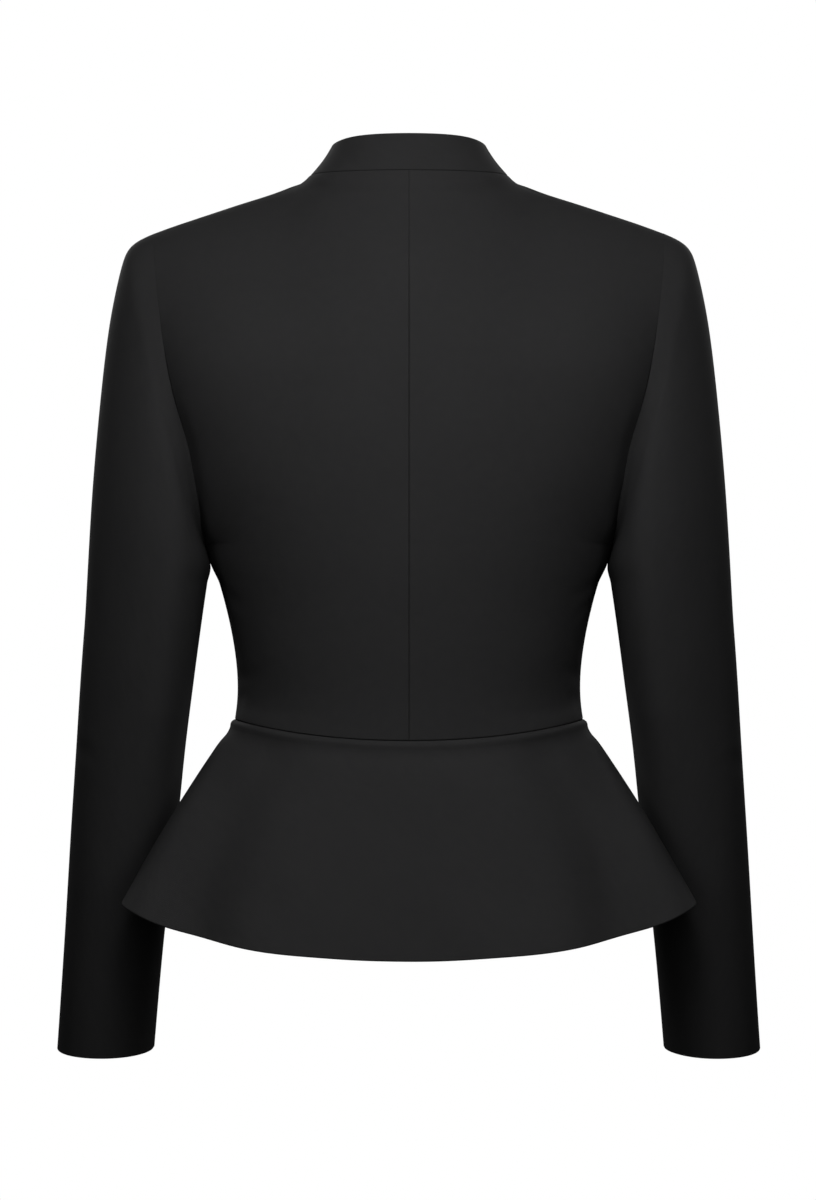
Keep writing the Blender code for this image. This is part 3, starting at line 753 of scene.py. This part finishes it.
EASE_OUT = {
    "back": smooth(
        [-340, -318, -304, -290, -281, -274, -267.9, -250.6, -224.6, -206.5, -192, -176, -150],
        [0, 0, 0.1, 0.9, 1.8, 2.6, 4.4, 5.6, 4.1, 1.3, 0.1, 0, 0],
    ),
    "front": smooth(
        [-340, -318, -304, -290, -281, -274, -262, -250, -236, -220, -150],
        [0, 0, 0.1, 0.9, 1.8, 2.6, 1.4, 0.4, 0, 0, 0],
    ),
}


def ease_out(face, z, d):
    """How far the cloth beside the armhole seam leans out over the arm, that far from the
    seam: the panel's ease hangs over it behind."""
    inside = (z > -318) & (z < -176)
    return np.where(inside, EASE_OUT[face](np.clip(z, -340, -150)), 0.0) * np.exp(-((d / 26.0) ** 2))


def top_turn(u):
    """The turned top edge: full along the neck, slight along the shoulder."""
    return (0.85 - 0.5 * ease((u - NECK_SHARE) / 0.06))[None, :]


def made_bodice():
    v = ROWS[:, None]
    middle = 1.05 - 0.65 * ease((v - 3.1) / 0.6)
    for side, name in ((1, "left"), (-1, "right")):
        way = np.array([float(side), 1, 1])
        back = bodice_net("back", BACK_U, ROWS) * way
        relief = back_relief(side)
        lines = runs(back, 1)
        armhole = turn(lines[:, -1:] - lines, 1.0) * np.where(v > 1, arm_edge(v, 0.45), 0.75)
        relief = relief - armhole
        back[..., 1] -= tuck(v, lines[:, -1:] - lines)
        lean = closing(back[..., 2]) * bell(BACK_U[None, :], 1.0, 0.3)
        back[..., 0] += side * (lean + ease_out("back", back[..., 2], lines[:, -1:] - lines))
        shell(
            "back_" + name,
            back,
            relief,
            {"first": middle, "low": 1.0, "high": top_turn(BACK_U)},
            {},
            mirrored=side < 0,
        )
        front = bodice_net("front", FRONT_U, ROWS) * way
        relief = front_relief(side)
        lines = runs(front, 1)
        relief = relief - turn(lines[:, -1:] - lines, 1.0) * np.where(
            v > 1, arm_edge(v, 0.45), 0.75
        )
        front[..., 1] += tuck(v, lines[:, -1:] - lines, "front")
        lean = closing(front[..., 2]) * bell(FRONT_U[None, :], 1.0, 0.3)
        front[..., 0] += side * (lean + ease_out("front", front[..., 2], lines[:, -1:] - lines))
        if side > 0:
            front, under = under_lap(front, True)
            relief = relief * (1 - under)
        shell(
            "front_" + name,
            front,
            relief,
            {"low": 1.0, "high": top_turn(np.abs(FRONT_U))},
            {"first": 0.97},
            mirrored=side < 0,
        )


def under_lap(net, trim):
    """Sets back the part of the left front that lies beneath the right one."""
    run = np.clip((LAP_RUN[1] - net[..., 0]) / (LAP_RUN[1] - LAP_RUN[0]), 0, 1)
    under = run * run * (3 - 2 * run)
    low = net.copy()
    low[..., 1] += LAP_DROP * under
    if trim:
        columns = runs(net, 0)
        left = columns[-1:] - columns
        pull = np.exp(-((left / 16.0) ** 2)) * 2.6 * under
        step = unit(np.gradient(net, axis=0))
        low -= step * pull[..., None]
    return low, under


def peplum_relief(base, face, side):
    """The rolled seam at the waist, the hollow below it and the peplum's soft flutes."""
    d = runs(base, 0)
    a = runs(base, 1)
    a = a - a[:, :1]
    roll = 1.25 * bell(d, 3.6, 2.6) - 1.1 * bell(d, 12.5, 6.5)
    share = np.clip(d / 165, 0, 1)
    middle = a - a[:, -1:] / 2
    wave = uneven(middle, d, (0.061, 0.002, 0.3), (0.098, -0.004, 1.9 + side), (0.036, 0.003, 4.2))
    flutes = 0.9 * share**1.2 * wave
    edge = np.minimum(a, a[:, -1:] - a)
    return roll + flutes * ease(edge / 25)


def side_fold(u, v):
    """The soft fold at each side of the back peplum: a rounded ridge down to the tip with
    a shallow hollow beside it, a little different left and right."""
    w, left = np.abs(u), np.where(u < 0, 1.0, 0.88)
    grow = ease(v / 0.16)
    hollow = bell(w, 0.46 + 0.26 * v**0.8 + 0.012 * np.sin(7 * v + 3 * left), 0.10)
    ridge = bell(w, 0.90, 0.085)
    under = ease(v / 0.05) * bell(v, 0.12, 0.07) * bell(w, 0.6, 0.24)  # below the waist seam
    folds = 6.0 * (1.0 - 0.7 * v) * ridge - 4.0 * (1.0 - 0.4 * v) * hollow
    return left * (grow * folds - 2.2 * under)


def made_peplum():
    falls = places(0, 1, 62, 165)
    half_u = places(0, 1, 80, 240, (False, True))
    whole_u = np.concatenate([-half_u[:0:-1], half_u])
    back = peplum("back", *np.meshgrid(whole_u, falls))
    back[..., 1] += side_fold(*np.meshgrid(whole_u, falls))
    shell(
        "peplum_back",
        back,
        peplum_relief(back, "back", 0),
        {"low": 1.0, "first": 0.75, "last": 0.75},
        {"high": 0.97},
    )
    for side, name in ((1, "left"), (-1, "right")):
        front = peplum("front", *np.meshgrid(FRONT_U, falls)) * np.array([float(side), 1, 1])
        relief = peplum_relief(front, "front", side)
        if side > 0:
            front, under = under_lap(front, False)
            relief = relief * (1 - under)
        shell(
            "peplum_front_" + name,
            front,
            relief,
            {"low": 1.0, "last": 0.75},
            {"high": 0.97, "first": 0.97},
            mirrored=side < 0,
        )


def made_collar():
    end = 180 - math.degrees(math.asin(COLLAR_END / NECK_HALF))
    half = places(0, end, 100, 205, (False, True))
    whole = np.concatenate([-half[:0:-1], half])
    angle, v = np.meshgrid(whole, places(0, 1, 14, 30))
    base = collar(np.abs(angle), v)
    base[..., 0] *= np.where(angle < 0, -1.0, 1.0)
    d = runs(base, 0)
    relief = 0.12 * uneven(angle, d, (0.045, 0.09, 0.2), (0.083, -0.05, 2.6))
    shell(
        "collar",
        base,
        relief,
        {"low": 0.9},
        {"high": 1.2, "first": 1.2, "last": 1.2},
        COLLAR_CLOTH,
    )


def made_sleeves():
    rows = np.concatenate(
        [np.linspace(1, 2, 25), np.linspace(2, 3, 13)[1:], np.linspace(3, 4, 41)[1:]]
    )
    last = len(RINGS["round"]) - 1
    cap = np.concatenate([np.array([0, 0.015, 0.04, 0.07, 0.1, 0.15]), np.linspace(0.22, 9, 84)])
    tube = np.linspace(9, last, 110)[1:-1]
    cuff = last - EDGE_STEPS[::-1] / 88
    ks = np.concatenate([cap, tube[tube < cuff[0]], cuff])
    net, angles = sleeve(rows, ks)
    degrees = np.degrees(angles)[None, :]
    down = runs(net, 0)
    top = len(rows) - 1
    net[:, : top + 1, 1] -= tuck(rows[None, :], down[:, : top + 1])
    net[:, top + 1 :, 1] += tuck(rows[None, -2:0:-1], down[:, top + 1 :], "front")
    near = np.minimum(degrees, 360 - degrees)
    lean = closing(net[..., 2]) * bell(near, 0.0, 55.0)
    rear = ease_out("back", net[..., 2], down)
    fore = ease_out("front", net[..., 2], down)
    net[..., 0] += np.where(np.arange(net.shape[1])[None, :] <= top, rear, fore) - lean
    # the forearm's back is a little flatter on its body side
    flat = np.maximum(np.cos(angles), 0) ** 3 * np.maximum(np.sin(angles), 0)
    net[..., 1] -= 7.0 * flat * ease((-548 - net[..., 2]) / 45)
    for side, name in ((1, "left"), (-1, "right")):
        k = ks[:, None]
        # soft bends on the inside of the elbow (towards the front) and below the cap
        soft = 0.35 * uneven(degrees * 0.9, down, (0.03, 0.012, 0.5 + side), (-0.022, 0.021, 2.2), (0.05, 0.008, 3.9 - side))
        a = (degrees - 270) * 0.95
        z = -down.mean(axis=1, keepdims=True)
        elbow = (
            1.15 * fold(a, z, (-52, -268), 12 + 5 * side, 96, 6.0, 7)
            + 0.95 * fold(a, z, (-40, -305), -6 + 4 * side, 88, 5.5, -6)
            + 0.75 * fold(a, z, (-56, -342), 4 - 5 * side, 78, 5.0, 5)
            + 0.45 * fold(a, z, (-150, -300), 8 * side, 60, 6.0, 4)
        )
        fade = ease((k - 0.6) / 2.5)
        relief = (soft + elbow) * fade
        # the cap stands a touch proud of its seam, except under the arm
        round_arm = np.abs(180 - degrees)
        over = ease((125 - round_arm) / 50) * ease((round_arm - 45) / 35)
        relief = relief + 0.3 * over * bell(down, 4.0, 3.0)
        relief = relief - turn(down, 1.0) * 0.45 * over
        shell(
            "sleeve_" + name,
            net * np.array([float(side), 1, 1]),
            relief,
            {},
            {"high": 0.97},
            tube=True,
            mirrored=side < 0,
        )


made_bodice()
made_peplum()
made_collar()
made_sleeves()

# ---------------------------------------------------------------- floor, light, camera


def pale_floor():
    mesh = bpy.data.meshes.new("floor")
    ring = [
        (2.6 * math.cos(a), 2.6 * math.sin(a), -1.45)
        for a in np.linspace(0, 2 * math.pi, 97)[:-1]
    ]
    mesh.from_pydata(ring, [], [list(range(len(ring)))])
    material = bpy.data.materials.new("floor")
    material.use_nodes = True
    shader = material.node_tree.nodes["Principled BSDF"]
    shader.inputs["Base Color"].default_value = (0.74, 0.74, 0.735, 1)
    shader.inputs["Roughness"].default_value = 0.9
    shader.inputs["Emission Color"].default_value = (1, 1, 0.99, 1)
    shader.inputs["Emission Strength"].default_value = 0.62
    mesh.materials.append(material)
    obj = bpy.data.objects.new("floor", mesh)
    bpy.context.scene.collection.objects.link(obj)
    obj.visible_diffuse = obj.visible_glossy = False  # it throws no light back up on the cloth


def soft_light(name, place, aim, width, height, power):
    light = bpy.data.lights.new(name, "AREA")
    light.shape = "RECTANGLE"
    light.size, light.size_y, light.energy = width, height, power
    obj = bpy.data.objects.new(name, light)
    bpy.context.scene.collection.objects.link(obj)
    obj.location = place
    obj.visible_camera = False
    way = np.array(aim, float) - np.array(place, float)
    flat = math.hypot(way[0], way[1])
    obj.rotation_euler = (math.atan2(flat, -way[2]), 0, math.atan2(way[1], way[0]) - math.pi / 2)
    return obj


def studio():
    world = bpy.data.worlds.new("studio")
    bpy.context.scene.world = world
    world.use_nodes = True
    nodes, links = world.node_tree.nodes, world.node_tree.links
    nodes.clear()
    white = nodes.new("ShaderNodeBackground")
    white.inputs["Color"].default_value = (1, 1, 1, 1)
    white.inputs["Strength"].default_value = 1.0
    room = nodes.new("ShaderNodeBackground")
    room.inputs["Color"].default_value = (1, 1, 1, 1)
    room.inputs["Strength"].default_value = 0.012
    seen = nodes.new("ShaderNodeLightPath")
    mix = nodes.new("ShaderNodeMixShader")
    end = nodes.new("ShaderNodeOutputWorld")
    links.new(seen.outputs["Is Camera Ray"], mix.inputs["Fac"])
    links.new(room.outputs[0], mix.inputs[1])
    links.new(white.outputs[0], mix.inputs[2])
    links.new(mix.outputs[0], end.inputs["Surface"])
    soft_light("overhead", (0, 0.8, 0.95), (0, 0, -0.1), 1.2, 0.25, 4.7)
    soft_light("upper_strip", (0, 0.95, 0.55), (0, 0, 0.0), 0.2, 0.9, 5.2)
    soft_light("lower_strip", (0, 0.62, -0.25), (0, 0, -0.3), 0.15, 0.8, 1.35)
    soft_light("back_left", (0.9, 1.0, 0.3), (0, 0, -0.3), 0.4, 0.6, 2.2)
    soft_light("back_right", (-0.9, 1.0, 0.3), (0, 0, -0.3), 0.4, 0.6, 2.2)
    soft_light("front_left", (1.0, -1.4, 0.5), (0, 0, -0.28), 0.9, 0.5, 11)
    soft_light("front_right", (-1.0, -1.4, 0.5), (0, 0, -0.28), 0.9, 0.5, 9)
    bpy.context.scene.view_settings.view_transform = "Standard"
    bpy.context.scene.view_settings.look = "None"
    bpy.context.scene.view_settings.exposure = 0.0
    bpy.context.scene.view_settings.gamma = 1.0


def camera():
    data = bpy.data.cameras.new("camera")
    data.lens, data.sensor_width, data.sensor_fit = 120.0, 36.0, "AUTO"
    data.clip_start, data.clip_end = 0.05, 60.0
    obj = bpy.data.objects.new("camera", data)
    bpy.context.scene.collection.objects.link(obj)
    obj.location = (0.00075, 3.0, -0.3165)
    obj.rotation_euler = (math.radians(90), 0, math.radians(180))
    bpy.context.scene.camera = obj


pale_floor()
studio()
camera()
